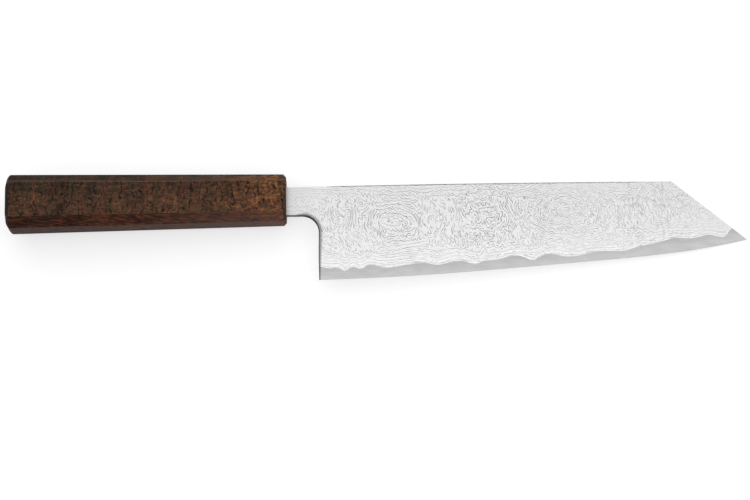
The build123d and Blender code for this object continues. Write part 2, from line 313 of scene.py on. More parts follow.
def layer_depths(name, height_shares):
    """A group that tells which layer of one side's stack shows at a place, and how far the weld is."""
    tree = bpy.data.node_groups.new(name, "ShaderNodeTree")
    tree.interface.new_socket("Axes", in_out="INPUT", socket_type="NodeSocketVector")
    tree.interface.new_socket("Layer", in_out="OUTPUT", socket_type="NodeSocketFloat")
    tree.interface.new_socket("Above Weld", in_out="OUTPUT", socket_type="NodeSocketFloat")
    axes = node(tree, "NodeGroupInput").outputs["Axes"]
    place = node(tree, "ShaderNodeSeparateXYZ", {"Vector": axes})
    along, height = place.outputs["X"], place.outputs["Y"]
    share = share_of_blade(tree, along)

    edge = np.polyfit(*zip(*edge_points), 4)
    weld_points = []
    for station, rise in zip(weld_station_shares, height_shares):
        x = heel_x + station * blade_length
        y = np.polyval(edge, x) + rise * weld_height
        weld_points.append((x / (heel_x + blade_length), float(y + curve_depth) / curve_depth))
    weld_line = node(tree, "ShaderNodeFloatCurve", {"Value": share})
    set_curve(weld_line, weld_points)
    weld_line = {0: weld_line, 1: curve_depth, 2: -curve_depth}
    weld_line = node(tree, "ShaderNodeMath", weld_line, operation="MULTIPLY_ADD")
    above_weld = node(tree, "ShaderNodeMath", {0: height, 1: weld_line}, operation="SUBTRACT")

    # Teeth: the layers' edges swing up and down by a millimetre, at uneven distances along the blade.
    tooth = {0: wander(tree, axes, tooth_drift, 1), 1: (12, 0, 0), 2: axes}
    tooth = node(tree, "ShaderNodeVectorMath", tooth, operation="MULTIPLY_ADD")
    tooth = node(tree, "ShaderNodeSeparateXYZ", {"Vector": tooth})
    tooth = node(tree, "ShaderNodeMath", {0: height, 1: 0.2, 2: tooth}, operation="MULTIPLY_ADD")
    tooth = node(tree, "ShaderNodeMath", {0: tooth, 1: tooth_spacing / 2}, operation="PINGPONG")
    swing = {"From Max": tooth_spacing / 2, "To Min": -tooth_depth, "To Max": tooth_depth}
    tooth = node(tree, "ShaderNodeMapRange", {"Value": tooth, **swing})
    tooth_share = node(tree, "ShaderNodeFloatCurve", {"Value": share})
    set_curve(tooth_share, tooth_shares)
    uneven = node(tree, "ShaderNodeSeparateXYZ", {"Vector": wander(tree, axes, tooth_patches, 1)})
    uneven = {"Value": uneven, "From Min": -0.15, "From Max": 0.15, "To Min": 0.3, "To Max": 1.4}
    uneven = node(tree, "ShaderNodeMapRange", uneven)
    clear_of_weld = node(tree, "ShaderNodeMapRange", {"Value": above_weld, "From Min": 3, "From Max": 13})
    clear_of_spine = node(tree, "ShaderNodeMapRange", {"Value": height, "From Min": 6, "From Max": -6})
    for smaller in (tooth_share, uneven, clear_of_weld, clear_of_spine):
        tooth = node(tree, "ShaderNodeMath", {0: tooth, 1: smaller}, operation="MULTIPLY")

    # Rings: distances from the pressed places, which drift by some millimetres and run into each other.
    drift = axes
    for size, detail, reach in ((wide_drift, 2, (12, 6, 0)), (small_drift, 1, (1.5, 1, 0))):
        drift = {0: wander(tree, axes, size, detail), 1: reach, 2: drift}
        drift = node(tree, "ShaderNodeVectorMath", drift, operation="MULTIPLY_ADD")
    rings = None
    for x, y, length, slant, late in pressings:
        turned = {"Location": (x, y, 0), "Rotation": (0, 0, math.radians(slant)), "Scale": (length, 1, 1e6)}
        local = node(tree, "ShaderNodeMapping", {"Vector": drift, **turned}, vector_type="TEXTURE")
        local = node(tree, "ShaderNodeSeparateXYZ", {"Vector": local})
        beside = node(tree, "ShaderNodeMath", {0: local.outputs["X"]}, operation="ABSOLUTE")
        beside = node(tree, "ShaderNodeMath", {0: beside, 1: ring_reach, 2: 4}, operation="SMOOTH_MIN")
        ring = node(tree, "ShaderNodeCombineXYZ", {"X": beside, "Y": local.outputs["Y"]})
        ring = node(tree, "ShaderNodeVectorMath", {0: ring}, operation="LENGTH")
        ring = node(tree, "ShaderNodeMath", {0: ring, 1: late}, operation="ADD")
        if rings:
            ring = node(tree, "ShaderNodeMath", {0: rings, 1: ring, 2: 2}, operation="SMOOTH_MIN")
        rings = ring

    # Beside the weld the layers follow the weld line. Higher up they pass over into rings and teeth.
    waves = node(tree, "ShaderNodeSeparateXYZ", {"Vector": wander(tree, axes, layer_waves, 3)})
    last_layer = {"From Min": 16, "From Max": 205, "To Min": 25, "To Max": 19.5}
    last_layer = node(tree, "ShaderNodeMapRange", {"Value": along, **last_layer}, clamp=False)
    sunk = node(tree, "ShaderNodeMath", {0: last_layer, 1: above_weld}, operation="SUBTRACT")
    sunk = node(tree, "ShaderNodeMath", {0: waves, 1: 4, 2: sunk}, operation="MULTIPLY_ADD")
    from_weld = {"Value": above_weld, "From Min": 2, "From Max": 14}
    from_weld = node(tree, "ShaderNodeMapRange", from_weld, interpolation_type="SMOOTHSTEP")
    layers = node(tree, "ShaderNodeMix", {"Factor": from_weld, 2: sunk, 3: rings}, data_type="FLOAT")
    layers = node(tree, "ShaderNodeMath", {0: layers, 1: tooth}, operation="ADD")
    ragged = node(tree, "ShaderNodeFloatCurve", {"Value": share})
    set_curve(ragged, ragged_shares)
    ragged = node(tree, "ShaderNodeMath", {0: ragged, 1: ragged_depth}, operation="MULTIPLY")
    ripple = node(tree, "ShaderNodeSeparateXYZ", {"Vector": wander(tree, axes, layer_ripples, 1)})
    layers = node(tree, "ShaderNodeMath", {0: ripple, 1: ragged, 2: layers}, operation="MULTIPLY_ADD")
    depth = node(tree, "ShaderNodeMath", {0: place.outputs["Z"]}, operation="ABSOLUTE")
    layers = node(tree, "ShaderNodeMath", {0: depth, 1: 1.5, 2: layers}, operation="MULTIPLY_ADD")
    node(tree, "NodeGroupOutput", {"Layer": layers, "Above Weld": above_weld})
    return tree


def folded_steel(name, height_shares):
    """The etched layered steel of one side, whose lines follow that side's weld line."""
    material, tree, axes = start_material(name)
    depths = layer_depths("layer depths, " + name, height_shares)
    place = node(tree, "ShaderNodeSeparateXYZ", {"Vector": axes})
    along, height = place.outputs["X"], place.outputs["Y"]
    share = share_of_blade(tree, along)
    here = node(tree, "ShaderNodeGroup", {"Axes": axes}, node_tree=depths)
    layers, above_weld = here.outputs["Layer"], here.outputs["Above Weld"]

    # How fast the layers follow each other here, from two places close by, keeps every line equally thick.
    slopes = []
    for step in ((slope_step, 0, 0), (0, slope_step, 0)):
        beside = node(tree, "ShaderNodeVectorMath", {0: axes, 1: step}, operation="ADD")
        beside = node(tree, "ShaderNodeGroup", {"Axes": beside}, node_tree=depths)
        slopes.append(node(tree, "ShaderNodeMath", {0: beside, 1: layers}, operation="SUBTRACT"))
    slope = node(tree, "ShaderNodeCombineXYZ", {"X": slopes[0], "Y": slopes[1]})
    slope = node(tree, "ShaderNodeVectorMath", {0: slope}, operation="LENGTH")
    slope = node(tree, "ShaderNodeMath", {0: slope, 1: 1 / slope_step}, operation="MULTIPLY")
    slope = node(tree, "ShaderNodeMath", {0: slope, 1: 0.12}, operation="MAXIMUM")

    # Every second line fades out where the layers cross the surface steeply, and more lines come in where
    # they are flat.
    crowding = node(tree, "ShaderNodeFloatCurve", {"Value": share})
    set_curve(crowding, crowding_shares)
    crowding = node(tree, "ShaderNodeMath", {0: crowding, 1: slope}, operation="MULTIPLY")
    distance = None
    for finer in (0.25, 0.5, 1, 2, 4):
        spacing = line_spacing / finer
        apart = node(tree, "ShaderNodeMath", {0: layers, 1: spacing / 2}, operation="PINGPONG")
        apart = node(tree, "ShaderNodeMath", {0: apart, 1: slope}, operation="DIVIDE")
        if distance:
            faded = {"From Min": 1.12 / finer, "From Max": 1.65 / finer, "To Max": 0.6}
            faded = node(tree, "ShaderNodeMapRange", {"Value": crowding, **faded})
            apart = node(tree, "ShaderNodeMath", {0: apart, 1: faded}, operation="ADD")
            apart = node(tree, "ShaderNodeMath", {0: distance, 1: apart}, operation="MINIMUM")
        distance = apart
    line = {"Value": distance, "From Min": 0.05, "From Max": 0.32, "To Min": 1.2, "To Max": 0}
    line = node(tree, "ShaderNodeMapRange", line, interpolation_type="SMOOTHSTEP")
    plain = {"Value": distance, "From Min": 0.5, "From Max": 1, "To Max": 0.15}
    plain = node(tree, "ShaderNodeMapRange", plain)
    line = node(tree, "ShaderNodeMath", {0: line, 1: plain}, operation="ADD")

    # Each layer takes the etch in its own measure, and the lines are weaker in patches, near the weld and
    # near the spine.
    layer = node(tree, "ShaderNodeMath", {0: layers, 1: 1 / line_spacing, 2: 0.5}, operation="MULTIPLY_ADD")
    layer = node(tree, "ShaderNodeMath", {0: layer}, operation="FLOOR")
    layer = node(tree, "ShaderNodeTexWhiteNoise", {"W": layer}, noise_dimensions="1D").outputs["Value"]
    layer = {"Value": layer, "To Min": 0.75, "To Max": 1.1}
    patchy = patches(tree, axes, etch_patches, 3)
    patchy = {"Value": patchy, "From Min": 0.35, "From Max": 0.65, "To Min": 0.55, "To Max": 1.15}
    calm = {"Value": above_weld, "From Min": 2, "From Max": 13, "To Min": 0.7}
    worn = {"Value": height, "From Min": 6, "From Max": -4, "To Min": 0.6}
    for weaker in (layer, patchy, calm, worn):
        weaker = node(tree, "ShaderNodeMapRange", weaker)
        line = node(tree, "ShaderNodeMath", {0: line, 1: weaker}, operation="MULTIPLY")
    strength = node(tree, "ShaderNodeFloatCurve", {"Value": share})
    set_curve(strength, line_strengths)
    line = node(tree, "ShaderNodeMath", {0: line, 1: strength}, operation="MULTIPLY")

    # Fine, blurred lines run beside the weld.
    fine_waves = node(tree, "ShaderNodeSeparateXYZ", {"Vector": wander(tree, axes, weld_waves)})
    weld_lines = node(tree, "ShaderNodeMath", {0: fine_waves, 1: 4, 2: above_weld}, operation="MULTIPLY_ADD")
    turns = 2 * math.pi / weld_line_spacing
    weld_lines = node(tree, "ShaderNodeMath", {0: weld_lines, 1: turns}, operation="MULTIPLY")
    weld_lines = node(tree, "ShaderNodeMath", {0: weld_lines}, operation="COSINE")
    uneven = {"From Min": -0.12, "From Max": 0.12, "To Min": 0.5, "To Max": 1.2}
    uneven = node(tree, "ShaderNodeMapRange", {"Value": fine_waves.outputs["Y"], **uneven})
    weld_lines = node(tree, "ShaderNodeMath", {0: weld_lines, 1: uneven}, operation="MULTIPLY")
    beside_weld = {"Value": above_weld, "From Min": 0.5, "From Max": 6, "To Min": 0.19, "To Max": 0}
    beside_weld = node(tree, "ShaderNodeMapRange", beside_weld, interpolation_type="SMOOTHSTEP")
    blurred = node(tree, "ShaderNodeFloatCurve", {"Value": share})
    set_curve(blurred, weld_line_strengths)
    beside_weld = node(tree, "ShaderNodeMath", {0: beside_weld, 1: blurred}, operation="MULTIPLY")

    # The ground between the lines grows lighter from the spine towards the edge, painted shading for the
    # curve of the flank. It is also a little darker at the neck and towards the tip.
    ground = {"Value": height, "From Min": 7, "From Max": -32, "To Min": 0.74, "To Max": 0.88}
    ground = node(tree, "ShaderNodeMapRange", ground)
    towards_tip = {"Value": along, "From Min": 150, "From Max": 226, "To Max": -0.07}
    towards_tip = node(tree, "ShaderNodeMapRange", towards_tip)
    neck = node(tree, "ShaderNodeFloatCurve", {"Value": share})
    set_curve(neck, neck_shares)
    neck = node(tree, "ShaderNodeMath", {0: neck, 1: -neck_darkness}, operation="MULTIPLY")
    for darker in (towards_tip, neck):
        ground = node(tree, "ShaderNodeMath", {0: ground, 1: darker}, operation="ADD")
    shade = node(tree, "ShaderNodeMath", {0: line, 1: -line_darkness, 2: ground}, operation="MULTIPLY_ADD")
    shade = node(tree, "ShaderNodeMath", {0: weld_lines, 1: beside_weld, 2: shade}, operation="MULTIPLY_ADD")

    # The upper edge is eased, and turns away from the light. Small water stains lie near the tip.
    bow = node(tree, "ShaderNodeMath", {0: along, 1: 1 / spine_half_run, 2: -1}, operation="MULTIPLY_ADD")
    bow = node(tree, "ShaderNodeMath", {0: bow, 1: bow}, operation="MULTIPLY")
    below_spine = node(tree, "ShaderNodeMath", {0: bow, 1: spine_bow, 2: height}, operation="MULTIPLY_ADD")
    spine_top = spine_height + spine_bow
    eased_edge = {"Value": below_spine, "From Min": spine_top - 0.7, "From Max": spine_top - 0.2}
    eased_edge = node(tree, "ShaderNodeMapRange", eased_edge)
    stain = node(tree, "ShaderNodeSeparateXYZ", {"Vector": wander(tree, axes, stains)})
    stain = {"Value": stain, "From Min": 0.02, "From Max": 0.16, "To Max": 0.12}
    stain = node(tree, "ShaderNodeMapRange", stain)
    for darker, shares in ((eased_edge, eased_edge_shares), (stain, stain_shares)):
        strength = node(tree, "ShaderNodeFloatCurve", {"Value": share})
        set_curve(strength, shares)
        darker = node(tree, "ShaderNodeMath", {0: darker, 1: strength}, operation="MULTIPLY")
        shade = node(tree, "ShaderNodeMath", {0: shade, 1: darker}, operation="SUBTRACT")
    colour = node(tree, "ShaderNodeValToRGB", {"Fac": shade})
    set_ramp(colour, [(0, "#606060"), (0.7, "#e3e3e3"), (1, "#fdfdfd")])
    # Painted shade on the heel, the choil, the neck's underside and the spine.
    steel = {"Base Color": painted_shade_on_ends(tree, axes, colour), "Metallic": 1, "Roughness": 0.36}
    node(tree, "ShaderNodeOutputMaterial", {"Surface": node(tree, "ShaderNodeBsdfPrincipled", steel)})
    return material


# Etched folded steel: silky bright ground with soft dark contour lines, where the etch bit the plain layers.
for side, shares in (("right", weld_height_shares), ("left", weld_height_shares[::-1])):
    dress("cladding_" + side, folded_steel("etched folded steel, " + side, shares))

# Tang bedding: amber epoxy adhesive, poured into the slot round the tang with the handle standing on its
# butt. It fills what the dowel's halves leave free, and holds the blade by itself.


def clouded(name, size, tones, roughness):
    """A poured or pressed filling, clouded between two tones in patches of a real size in millimetres."""
    material, tree, axes = start_material(name)
    colour = node(tree, "ShaderNodeValToRGB", {"Fac": patches(tree, axes, (size, size, size))})
    set_ramp(colour, list(zip((0.3, 0.7), tones)))
    filling = node(tree, "ShaderNodeBsdfPrincipled", {"Base Color": colour, "Roughness": roughness})
    node(tree, "ShaderNodeOutputMaterial", {"Surface": filling})
    return material


# Cured epoxy: glossy amber with a faint haze.
epoxy = clouded("cured epoxy adhesive", size=2, tones=("#a8823f", "#b88f4a"), roughness=0.2)
dress("tang_bedding", epoxy)

# Handle: one piece of dark figured rosewood, sawn to a tapering octagon, bored for the dowel from its front,
# its edges eased and its butt rounded by hand, then oiled. Curly grain shows on the two side flats.
handle_sizes = {
    "Length": 0.1381,
    "Butt Height": 0.0271,
    "Butt Width": 0.0224,
    "Front Height": 0.0236,
    "Front Width": 0.0188,
    "Bevel": 0.0049,
    "Edge Easing": 0.0004,
    "Butt Rounding": 0.0044,
    "Butt Rounding Depth": 0.00385,
    "Butt Crown Radius": 0.185,
    "Front Chamfer": 0.0013,
    "Bore Diameter": 0.0128,
    "Bore Length": 0.095,
    "Drill Point": 0.00385,
    "Slot Depth": 0.0107,
    "Slot Height": 0.0154,
    "Slot Width": 0.0038,
    "Slot Offset": -0.00115,
}
butt_place = -handle_sizes["Length"] / millimetre
half_height_at_butt = handle_sizes["Butt Height"] / 2 / millimetre
half_height_at_front = handle_sizes["Front Height"] / 2 / millimetre
front_quarter = -38
# The wood's patterns, by the length, height and depth of their patches in millimetres.
curls = (7.1429, 5, 8.3333)
growth_rings = (14.286, 4.5455, 1.25)
fibre_bundles = (4.1667, 1.1765, 0.83333)
upright_bands = (1.8182, 20, 10)
wide_bands = (4.5455, 33.333, 20)
long_grain = (14.286, 2, 1.4286)
tint_patches = (2.2222, 14.286, 10)
bevel_streaks = (7, 0.9, 0.9)
# Real pores are 0.2 mm wide, too fine to show, so their strokes and specks are drawn about 0.8 mm wide.
pore_sway = (3.3333, 3.3333, 3.3333)
pore_cells = (0.90909, 2.7778, 5)
pore_specks = (0.76923, 2, 3.3333)
pore_breaks = (2.5, 5, 5)
stroke_spacing = 1.3

# Oiled rosewood: dark brown with a low sheen, lighter where curled fibres stand on end, golden at the front.
wood_material, tree, axes = start_material("oiled figured rosewood")
place = node(tree, "ShaderNodeSeparateXYZ", {"Vector": axes})
along, height = place.outputs["X"], place.outputs["Y"]
facing = node(tree, "ShaderNodeNewGeometry").outputs["Normal"]
facing = node(tree, "ShaderNodeSeparateXYZ", {"Vector": facing})
whole_handle = {"Value": along, "From Min": butt_place, "From Max": 0}
share = node(tree, "ShaderNodeMapRange", whole_handle)
side_flat = node(tree, "ShaderNodeMath", {0: facing.outputs["Z"]}, operation="ABSOLUTE")
side_flat = node(tree, "ShaderNodeMapRange", {"Value": side_flat, "From Min": 0.8, "From Max": 0.95})
bevel = node(tree, "ShaderNodeMath", {0: 1, 1: side_flat}, operation="SUBTRACT")
upward = facing.outputs["Y"]
upper_face, lower_face = (
    node(tree, "ShaderNodeMapRange", {"Value": upward, "From Min": 0.4 * side, "From Max": 0.6 * side})
    for side in (1, -1)
)
half_height = {**whole_handle, "To Min": half_height_at_butt, "To Max": half_height_at_front}
half_height = node(tree, "ShaderNodeMapRange", half_height)
below_top = node(tree, "ShaderNodeMath", {0: height, 1: half_height}, operation="SUBTRACT")

curl = wander(tree, axes, curls)
bent = node(tree, "ShaderNodeVectorMath", {0: curl, 1: (10, 6, 7), 2: axes}, operation="MULTIPLY_ADD")
upright = node(tree, "ShaderNodeVectorMath", {0: curl, 1: (4, 2, 2), 2: axes}, operation="MULTIPLY_ADD")
fibres = patches(tree, bent, fibre_bundles)
growth = patches(tree, bent, growth_rings, 4, 0.6)
growth = node(tree, "ShaderNodeMapRange", {"Value": growth, "To Min": 0.2, "To Max": 0.55})
shade = node(tree, "ShaderNodeMath", {0: fibres, 1: 0.7, 2: growth}, operation="MULTIPLY_ADD")
bands = patches(tree, upright, upright_bands, 3, 0.65)
bands = node(tree, "ShaderNodeMath", {0: bands, 1: side_flat}, operation="MULTIPLY")
shade = node(tree, "ShaderNodeMath", {0: bands, 1: 0.38, 2: shade}, operation="MULTIPLY_ADD")
curly = {"Value": patches(tree, bent, wide_bands, 1), "From Min": 0.3, "From Max": 0.7, "To Max": 0.12}
front = {"Value": along, "From Min": front_quarter, "From Max": 0, "To Max": 0.15}
for lighter in (curly, front):
    lighter = node(tree, "ShaderNodeMapRange", lighter)
    shade = node(tree, "ShaderNodeMath", {0: shade, 1: lighter}, operation="ADD")

# The side flat is darker above its middle towards both ends, and lighter below it halfway.
dark_above = ((0, 0.7), (0.1, 1), (0.3, 1), (0.38, 0.15), (0.58, 0.15), (0.68, 0.7), (0.85, 0.6), (1, 0.2))
light_below = ((0, 0), (0.3, 0.1), (0.4, 1), (0.62, 1), (0.72, 0.1), (1, 0))
for start, end, strengths, amount in ((1, 6, dark_above, -0.1), (1, -6, light_below, 0.05)):
    half = node(tree, "ShaderNodeMapRange", {"Value": height, "From Min": start, "From Max": end})
    strength = node(tree, "ShaderNodeFloatCurve", {"Value": share})
    set_curve(strength, strengths)
    for smaller in (strength, side_flat):
        half = node(tree, "ShaderNodeMath", {0: half, 1: smaller}, operation="MULTIPLY")
    shade = node(tree, "ShaderNodeMath", {0: half, 1: amount, 2: shade}, operation="MULTIPLY_ADD")
dull = node(tree, "ShaderNodeMapRange", {**whole_handle, "To Min": -0.52, "To Max": -0.31})
dull = {0: patches(tree, axes, long_grain), 1: 0.9, 2: dull}
dull = node(tree, "ShaderNodeMath", dull, operation="MULTIPLY_ADD")
shade = node(tree, "ShaderNodeMath", {0: bevel, 1: dull, 2: shade}, operation="MULTIPLY_ADD")
colour = node(tree, "ShaderNodeValToRGB", {"Fac": shade})
set_ramp(colour, [(0.7, "#201810"), (0.9, "#3c2a1f"), (0.99, "#503728")])

# Golden fibres, and reddish and olive patches.
golden = {"Value": shade, "From Min": 1.02, "From Max": 1.22, "To Max": 0.85}
golden = node(tree, "ShaderNodeMapRange", golden)
gold = node(tree, "ShaderNodeMapRange", {"Value": fibres, "From Min": 0.47, "From Max": 0.62, "To Max": 0.7})
gold_front = node(tree, "ShaderNodeMapRange", {"Value": along, "From Min": front_quarter, "From Max": 0})
gold = node(tree, "ShaderNodeMath", {0: gold, 1: gold_front}, operation="MULTIPLY")
tint = patches(tree, upright, tint_patches)
reddish, olive = (
    node(tree, "ShaderNodeMapRange", {"Value": tint, "From Min": start, "From Max": end, "To Max": 0.6})
    for start, end in ((0.52, 0.7), (0.48, 0.3))
)
for amount, tone in ((golden, "#805438"), (gold, "#9a6539"), (reddish, "#532d27"), (olive, "#3b3420")):
    colour = node(tree, "ShaderNodeMix", {0: amount, 6: colour, 7: linear(tone)}, data_type="RGBA")

# Red and orange streaks run a little aslant along the bevels below the side flats.
turned = {"Vector": axes, "Rotation": (0, 0, math.radians(-11)), "Scale": bevel_streaks}
slanted = node(tree, "ShaderNodeMapping", turned, vector_type="TEXTURE")
slanted = node(tree, "ShaderNodeTexNoise", {"Vector": slanted, "Scale": 1, "Detail": 3, "Roughness": 0.6})
lift = node(tree, "ShaderNodeMapRange", {**whole_handle, "To Min": -0.07, "To Max": 0.03})
slanted = node(tree, "ShaderNodeMath", {0: slanted, 1: lift}, operation="ADD")
streaks = node(tree, "ShaderNodeValToRGB", {"Fac": slanted})
set_ramp(streaks, [(0.34, "#1f120e"), (0.46, "#3a2119"), (0.57, "#78402a"), (0.68, "#4f362b")])
ragged = node(tree, "ShaderNodeMath", {0: growth, 1: 6, 2: height}, operation="MULTIPLY_ADD")
ragged = node(tree, "ShaderNodeMapRange", {"Value": ragged, "From Min": -5.8, "From Max": -6.8})
low_bevel = node(tree, "ShaderNodeMath", {0: lower_face, 1: ragged}, operation="MAXIMUM")
reddest = {"Value": along, "From Min": -90, "From Max": 0, "To Min": 0.65, "To Max": 0.35}
reddest = node(tree, "ShaderNodeMapRange", reddest)
low_bevel = node(tree, "ShaderNodeMath", {0: low_bevel, 1: reddest}, operation="MULTIPLY")
colour = node(tree, "ShaderNodeMix", {0: low_bevel, 6: colour, 7: streaks}, data_type="RGBA")

# Painted sheen greys the lower faces towards the front and, faintly, the bottom facet; painted shade greys
# the upper bevel there too, and a painted highlight makes it warmer and lighter along its lower half.
painted_sheen = node(tree, "ShaderNodeMapRange", {"Value": along, "From Min": -75, "From Max": -25, "To Max": 0.2})
painted_sheen = node(tree, "ShaderNodeMath", {0: painted_sheen, 1: lower_face}, operation="MULTIPLY")
shaded = node(tree, "ShaderNodeFloatCurve", {"Value": share})
set_curve(shaded, ((0, 0), (0.5, 0), (0.7, 0.12), (0.85, 0.12), (0.95, 0), (1, 0)))
shaded = node(tree, "ShaderNodeMath", {0: shaded, 1: upper_face}, operation="MULTIPLY")
warm_highlight = {"Value": below_top, "From Min": -2.6, "From Max": -4.6, "To Max": 0.13}
warm_highlight = node(tree, "ShaderNodeMapRange", warm_highlight)
warm_highlight = node(tree, "ShaderNodeMath", {0: warm_highlight, 1: upper_face}, operation="MULTIPLY")
bottom_sheen = {"Value": upward, "From Min": -0.8, "From Max": -0.95, "To Max": 0.04}
bottom_sheen = node(tree, "ShaderNodeMapRange", bottom_sheen)
for amount, tone in ((painted_sheen, "#6e5a58"), (shaded, "#364440"), (warm_highlight, "#94664c"), (bottom_sheen, "#7f8a8c")):
    colour = node(tree, "ShaderNodeMix", {0: amount, 6: colour, 7: linear(tone)}, data_type="RGBA")

# A painted highlight lies along each eased edge above and below the side flat, where the edge catches the
# light.
for outward, strengths, lit in (
    (1, ((0, 0.5), (0.3, 0.6), (0.4, 1), (0.6, 1), (0.72, 0.4), (1, 0.4)), "#967a66"),
    (-1, ((0, 0.2), (0.3, 0.3), (0.4, 1), (0.62, 1), (0.75, 0.5), (1, 0.5)), "#8a5f45"),
):
    edge = node(tree, "ShaderNodeMath", {0: upward, 1: outward}, operation="MULTIPLY")
    band = {"Value": edge, "From Min": 0.08, "From Max": 0.18, "To Max": 0.4}
    band = node(tree, "ShaderNodeMapRange", band)
    inside = node(tree, "ShaderNodeMapRange", {"Value": edge, "From Min": 0.6, "From Max": 0.5})
    strength = node(tree, "ShaderNodeFloatCurve", {"Value": share})
    set_curve(strength, strengths)
    for smaller in (inside, strength):
        band = node(tree, "ShaderNodeMath", {0: band, 1: smaller}, operation="MULTIPLY")
    colour = node(tree, "ShaderNodeMix", {0: band, 6: colour, 7: linear(lit)}, data_type="RGBA")

# Dark, gum-filled pores, which the two side flats cut across: fine specks and short wavy strokes.
sway = {0: wander(tree, axes, pore_sway, 1), 1: (4.5, 2, 2), 2: axes}
sway = node(tree, "ShaderNodeVectorMath", sway, operation="MULTIPLY_ADD")
cells = node(tree, "ShaderNodeMapping", {"Vector": sway, "Scale": pore_cells}, vector_type="TEXTURE")
cells = node(tree, "ShaderNodeTexVoronoi", {"Vector": cells, "Scale": 1}, feature="F1")
fleck_size = node(tree, "ShaderNodeSeparateColor", {"Color": cells.outputs["Color"]})
fleck_size = node(tree, "ShaderNodeMapRange", {"Value": fleck_size, "To Max": 0.42})
pores_and_shade = node(tree, "ShaderNodeMath", {0: fleck_size, 1: cells.outputs["Distance"]}, operation="SUBTRACT")
pores_and_shade = {"Value": pores_and_shade, "From Max": 0.14, "To Max": 0.95}
pores_and_shade = node(tree, "ShaderNodeMapRange", pores_and_shade, interpolation_type="SMOOTHSTEP")
specks = {"Value": patches(tree, sway, pore_specks), "From Min": 0.6, "From Max": 0.74, "To Max": 0.45}
specks = node(tree, "ShaderNodeMapRange", specks)
strokes = node(tree, "ShaderNodeVectorMath", {0: curl, 1: (4, 0, 0), 2: sway}, operation="MULTIPLY_ADD")
strokes = node(tree, "ShaderNodeSeparateXYZ", {"Vector": strokes})
strokes = node(tree, "ShaderNodeMath", {0: strokes, 1: stroke_spacing}, operation="PINGPONG")
strokes = {"Value": strokes, "From Min": 0.15, "From Max": 0.5, "To Min": 0.95, "To Max": 0}
strokes = node(tree, "ShaderNodeMapRange", strokes)
broken = {"Value": patches(tree, axes, pore_breaks, 1), "From Min": 0.48, "From Max": 0.56}
broken = node(tree, "ShaderNodeMapRange", broken)
strokes = node(tree, "ShaderNodeMath", {0: strokes, 1: broken}, operation="MULTIPLY")
for more in (specks, strokes):
    pores_and_shade = node(tree, "ShaderNodeMath", {0: pores_and_shade, 1: more}, operation="MAXIMUM")
pores_and_shade = node(tree, "ShaderNodeMath", {0: pores_and_shade, 1: side_flat}, operation="MULTIPLY")

# Painted shade darkens the top facet, the line below it and the end faces.
top_edge = {"Value": upward, "From Min": 0.74, "From Max": 0.82, "To Max": 0.8}
top_line = {"Value": below_top, "From Min": -0.7, "From Max": -0.3, "To Max": 0.6}
painted_end_shade = node(tree, "ShaderNodeMath", {0: facing.outputs["X"]}, operation="ABSOLUTE")
painted_end_shade = {"Value": painted_end_shade, "From Min": 0.3, "From Max": 0.8, "To Max": 0.65}
for darker in (top_edge, top_line, painted_end_shade):
    darker = node(tree, "ShaderNodeMapRange", darker)
    pores_and_shade = node(tree, "ShaderNodeMath", {0: pores_and_shade, 1: darker}, operation="MAXIMUM")
colour = node(tree, "ShaderNodeMix", {0: pores_and_shade, 6: colour, 7: linear("#10130d")}, data_type="RGBA")
timber = {"Base Color": colour, "Roughness": 0.6, "Specular IOR Level": 0.08}
timber = node(tree, "ShaderNodeBsdfPrincipled", timber)
node(tree, "ShaderNodeOutputMaterial", {"Surface": timber})

# The handle's skin: half of its outline, from the butt's middle over the outside and down the bore, is a
# line. A grid has one ring of corners for each of the line's points, and each ring takes the shape of the
# octagon's section, or of a circle inside the bore. The slot for the neck is cut out last.
tree = bpy.data.node_groups.new("tapering octagon with a bore", "GeometryNodeTree")
identifiers = {}
for name, value in handle_sizes.items():
    size_input = tree.interface.new_socket(name, in_out="INPUT", socket_type="NodeSocketFloat")
    size_input.default_value = value
    identifiers[name] = size_input.identifier
tree.interface.new_socket("Mesh", in_out="OUTPUT", socket_type="NodeSocketGeometry")
size_of = node(tree, "NodeGroupInput").outputs
half_butt, half_front, bore_radius = (
    node(tree, "ShaderNodeMath", {0: size_of[name], 1: 0.5}, operation="MULTIPLY")
    for name in ("Butt Height", "Front Height", "Bore Diameter")
)
butt_x, bore_end = (
    node(tree, "ShaderNodeMath", {0: size_of[name], 1: -1}, operation="MULTIPLY")
    for name in ("Length", "Bore Length")
)
drill_tip = node(tree, "ShaderNodeMath", {0: bore_end, 1: size_of["Drill Point"]}, operation="SUBTRACT")
rounding_top = node(tree, "ShaderNodeMath", {0: half_butt, 1: size_of["Butt Rounding"]}, operation="ADD")
rounding_top = {0: rounding_top, 1: size_of["Butt Rounding Depth"]}
rounding_top = node(tree, "ShaderNodeMath", rounding_top, operation="SUBTRACT")

# Each point of the half outline: its place along and out from the axis, its rounding, and in how many steps.
outline = (
    (butt_x, 0, None, 1),
    (butt_x, rounding_top, size_of["Butt Rounding"], 9),
    (0, half_front, size_of["Front Chamfer"], 1),
    (0, bore_radius, None, 1),
    (bore_end, bore_radius, None, 1),
    (drill_tip, 0, None, 1),
)
rings_in_bore = 3
merge_distance = 0.00001
index = node(tree, "GeometryNodeInputIndex")
corner_places, corner_radii, corner_cuts = (
    node(tree, "GeometryNodeIndexSwitch", {"Index": index}, data_type=kind)
    for kind in ("VECTOR", "FLOAT", "INT")
)
for switch in (corner_places, corner_radii, corner_cuts):
    while len(switch.index_switch_items) < len(outline):
        switch.index_switch_items.new()
for i, (along, out, radius, cuts) in enumerate(outline, 1):
    corner = node(tree, "ShaderNodeCombineXYZ", {"X": along, "Y": out})
    tree.links.new(corner.outputs[0], corner_places.inputs[i])
    if radius:
        tree.links.new(radius, corner_radii.inputs[i])
    corner_cuts.inputs[i].default_value = cuts
